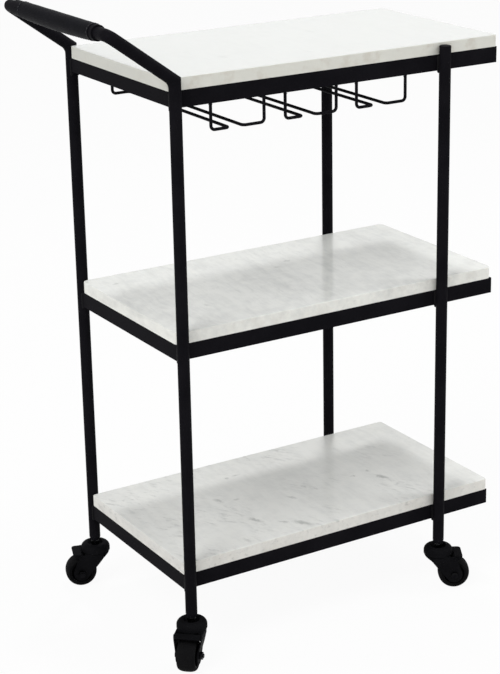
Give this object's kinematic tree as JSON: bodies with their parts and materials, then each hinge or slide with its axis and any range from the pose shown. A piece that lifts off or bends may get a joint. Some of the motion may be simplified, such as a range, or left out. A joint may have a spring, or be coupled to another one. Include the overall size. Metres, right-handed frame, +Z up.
{
  "type": "bar cart",
  "caption": "Three-tier bar cart with marble slabs on a round-legged iron frame, a stemware rack, a leather-covered push handle and braked swivel casters.",
  "frame": {"origin": "on the floor, under the middle of the overall length and width", "axes": "+Z up, +X along the shelves away from the push handle, -Y the long side nearest the viewer"},
  "size_m": [0.6632, 0.4036, 0.9596],
  "materials": {
    "marble": "polished white marble with soft grey veins",
    "frame_paint": "satin black powder coat",
    "grip_leather": "black grained leather, sewn along the underside",
    "caster_paint": "semi-gloss black coat on pressed steel",
    "bolt_steel": "black oxide on steel",
    "hub_plastic": "moulded black nylon",
    "tyre_rubber": "solid black rubber"
  },
  "bodies": {
    "frame": {"back_left_leg": "frame_paint", "back_right_leg": "frame_paint", "bearing_balls": "bolt_steel", "bottom_back_rail": "frame_paint", "bottom_front_rail": "frame_paint", "bottom_left_rail": "frame_paint", "bottom_right_rail": "frame_paint", "bottom_slab": "marble", "caster_dome_back_left": "caster_paint", "caster_dome_back_right": "caster_paint", "caster_dome_front_left": "caster_paint", "caster_dome_front_right": "caster_paint", "caster_stem_back_left": "bolt_steel", "caster_stem_back_right": "bolt_steel", "caster_stem_front_left": "bolt_steel", "caster_stem_front_right": "bolt_steel", "front_left_leg": "frame_paint", "front_right_leg": "frame_paint", "grip_sleeve": "frame_paint", "handle_tube": "frame_paint", "leather_grip": "grip_leather", "leg_caps": "frame_paint", "leg_inserts": "frame_paint", "middle_back_rail": "frame_paint", "middle_front_rail": "frame_paint", "middle_left_rail": "frame_paint", "middle_right_rail": "frame_paint", "middle_slab": "marble", "stem_wire_1": "frame_paint", "stem_wire_2": "frame_paint", "stem_wire_3": "frame_paint", "stem_wire_4": "frame_paint", "stem_wire_5": "frame_paint", "stem_wire_6": "frame_paint", "top_back_rail": "frame_paint", "top_front_rail": "frame_paint", "top_left_rail": "frame_paint", "top_right_rail": "frame_paint", "top_slab": "marble"},
    "fork_front_left": {"caster_fork_front_left": "caster_paint", "axle_bolt_front_left": "bolt_steel"},
    "wheel_front_left": {"wheel_hub_front_left": "hub_plastic", "tyre_front_left": "tyre_rubber"},
    "pedal_front_left": {"brake_pedal_front_left": "caster_paint"},
    "fork_back_left": {"caster_fork_back_left": "caster_paint", "axle_bolt_back_left": "bolt_steel"},
    "wheel_back_left": {"wheel_hub_back_left": "hub_plastic", "tyre_back_left": "tyre_rubber"},
    "pedal_back_left": {"brake_pedal_back_left": "caster_paint"},
    "fork_front_right": {"caster_fork_front_right": "caster_paint", "axle_bolt_front_right": "bolt_steel"},
    "wheel_front_right": {"wheel_hub_front_right": "hub_plastic", "tyre_front_right": "tyre_rubber"},
    "pedal_front_right": {"brake_pedal_front_right": "caster_paint"},
    "fork_back_right": {"caster_fork_back_right": "caster_paint", "axle_bolt_back_right": "bolt_steel"},
    "wheel_back_right": {"wheel_hub_back_right": "hub_plastic", "tyre_back_right": "tyre_rubber"},
    "pedal_back_right": {"brake_pedal_back_right": "caster_paint"}
  },
  "joints": [
    {"name": "swivel_front_left", "type": "hinge", "parent": "frame", "child": "fork_front_left", "pos_m": [-0.22345, -0.1578, 0.058], "axis": [0, 0, 1], "continuous": true},
    {"name": "wheel_front_left", "type": "hinge", "parent": "fork_front_left", "child": "wheel_front_left", "pos_m": [-0.2405, -0.17608, 0.025], "axis": [0.7314, -0.682, 0], "continuous": true},
    {"name": "brake_front_left", "type": "hinge", "parent": "fork_front_left", "child": "pedal_front_left", "pos_m": [-0.24016, -0.17572, 0.0545], "axis": [0.7314, -0.682, 0], "range_deg": [0, 18]},
    {"name": "swivel_back_left", "type": "hinge", "parent": "frame", "child": "fork_back_left", "pos_m": [-0.22345, 0.1578, 0.058], "axis": [0, 0, 1], "continuous": true},
    {"name": "wheel_back_left", "type": "hinge", "parent": "fork_back_left", "child": "wheel_back_left", "pos_m": [-0.24694, 0.16635, 0.025], "axis": [-0.342, -0.9397, 0], "continuous": true},
    {"name": "brake_back_left", "type": "hinge", "parent": "fork_back_left", "child": "pedal_back_left", "pos_m": [-0.24647, 0.16618, 0.0545], "axis": [-0.342, -0.9397, 0], "range_deg": [0, 18]},
    {"name": "swivel_front_right", "type": "hinge", "parent": "frame", "child": "fork_front_right", "pos_m": [0.22905, -0.1578, 0.058], "axis": [0, 0, 1], "continuous": true},
    {"name": "wheel_front_right", "type": "hinge", "parent": "fork_front_right", "child": "wheel_front_right", "pos_m": [0.2507, -0.1703, 0.025], "axis": [0.5, 0.866, 0], "continuous": true},
    {"name": "brake_front_right", "type": "hinge", "parent": "fork_front_right", "child": "pedal_front_right", "pos_m": [0.25027, -0.17005, 0.0545], "axis": [0.5, 0.866, 0], "range_deg": [0, 18]},
    {"name": "swivel_back_right", "type": "hinge", "parent": "frame", "child": "fork_back_right", "pos_m": [0.22905, 0.1578, 0.058], "axis": [0, 0, 1], "continuous": true},
    {"name": "wheel_back_right", "type": "hinge", "parent": "fork_back_right", "child": "wheel_back_right", "pos_m": [0.212, 0.17608, 0.025], "axis": [-0.7314, -0.682, 0], "continuous": true},
    {"name": "brake_back_right", "type": "hinge", "parent": "fork_back_right", "child": "pedal_back_right", "pos_m": [0.21234, 0.17572, 0.0545], "axis": [-0.7314, -0.682, 0], "range_deg": [0, 18]}
  ]
}
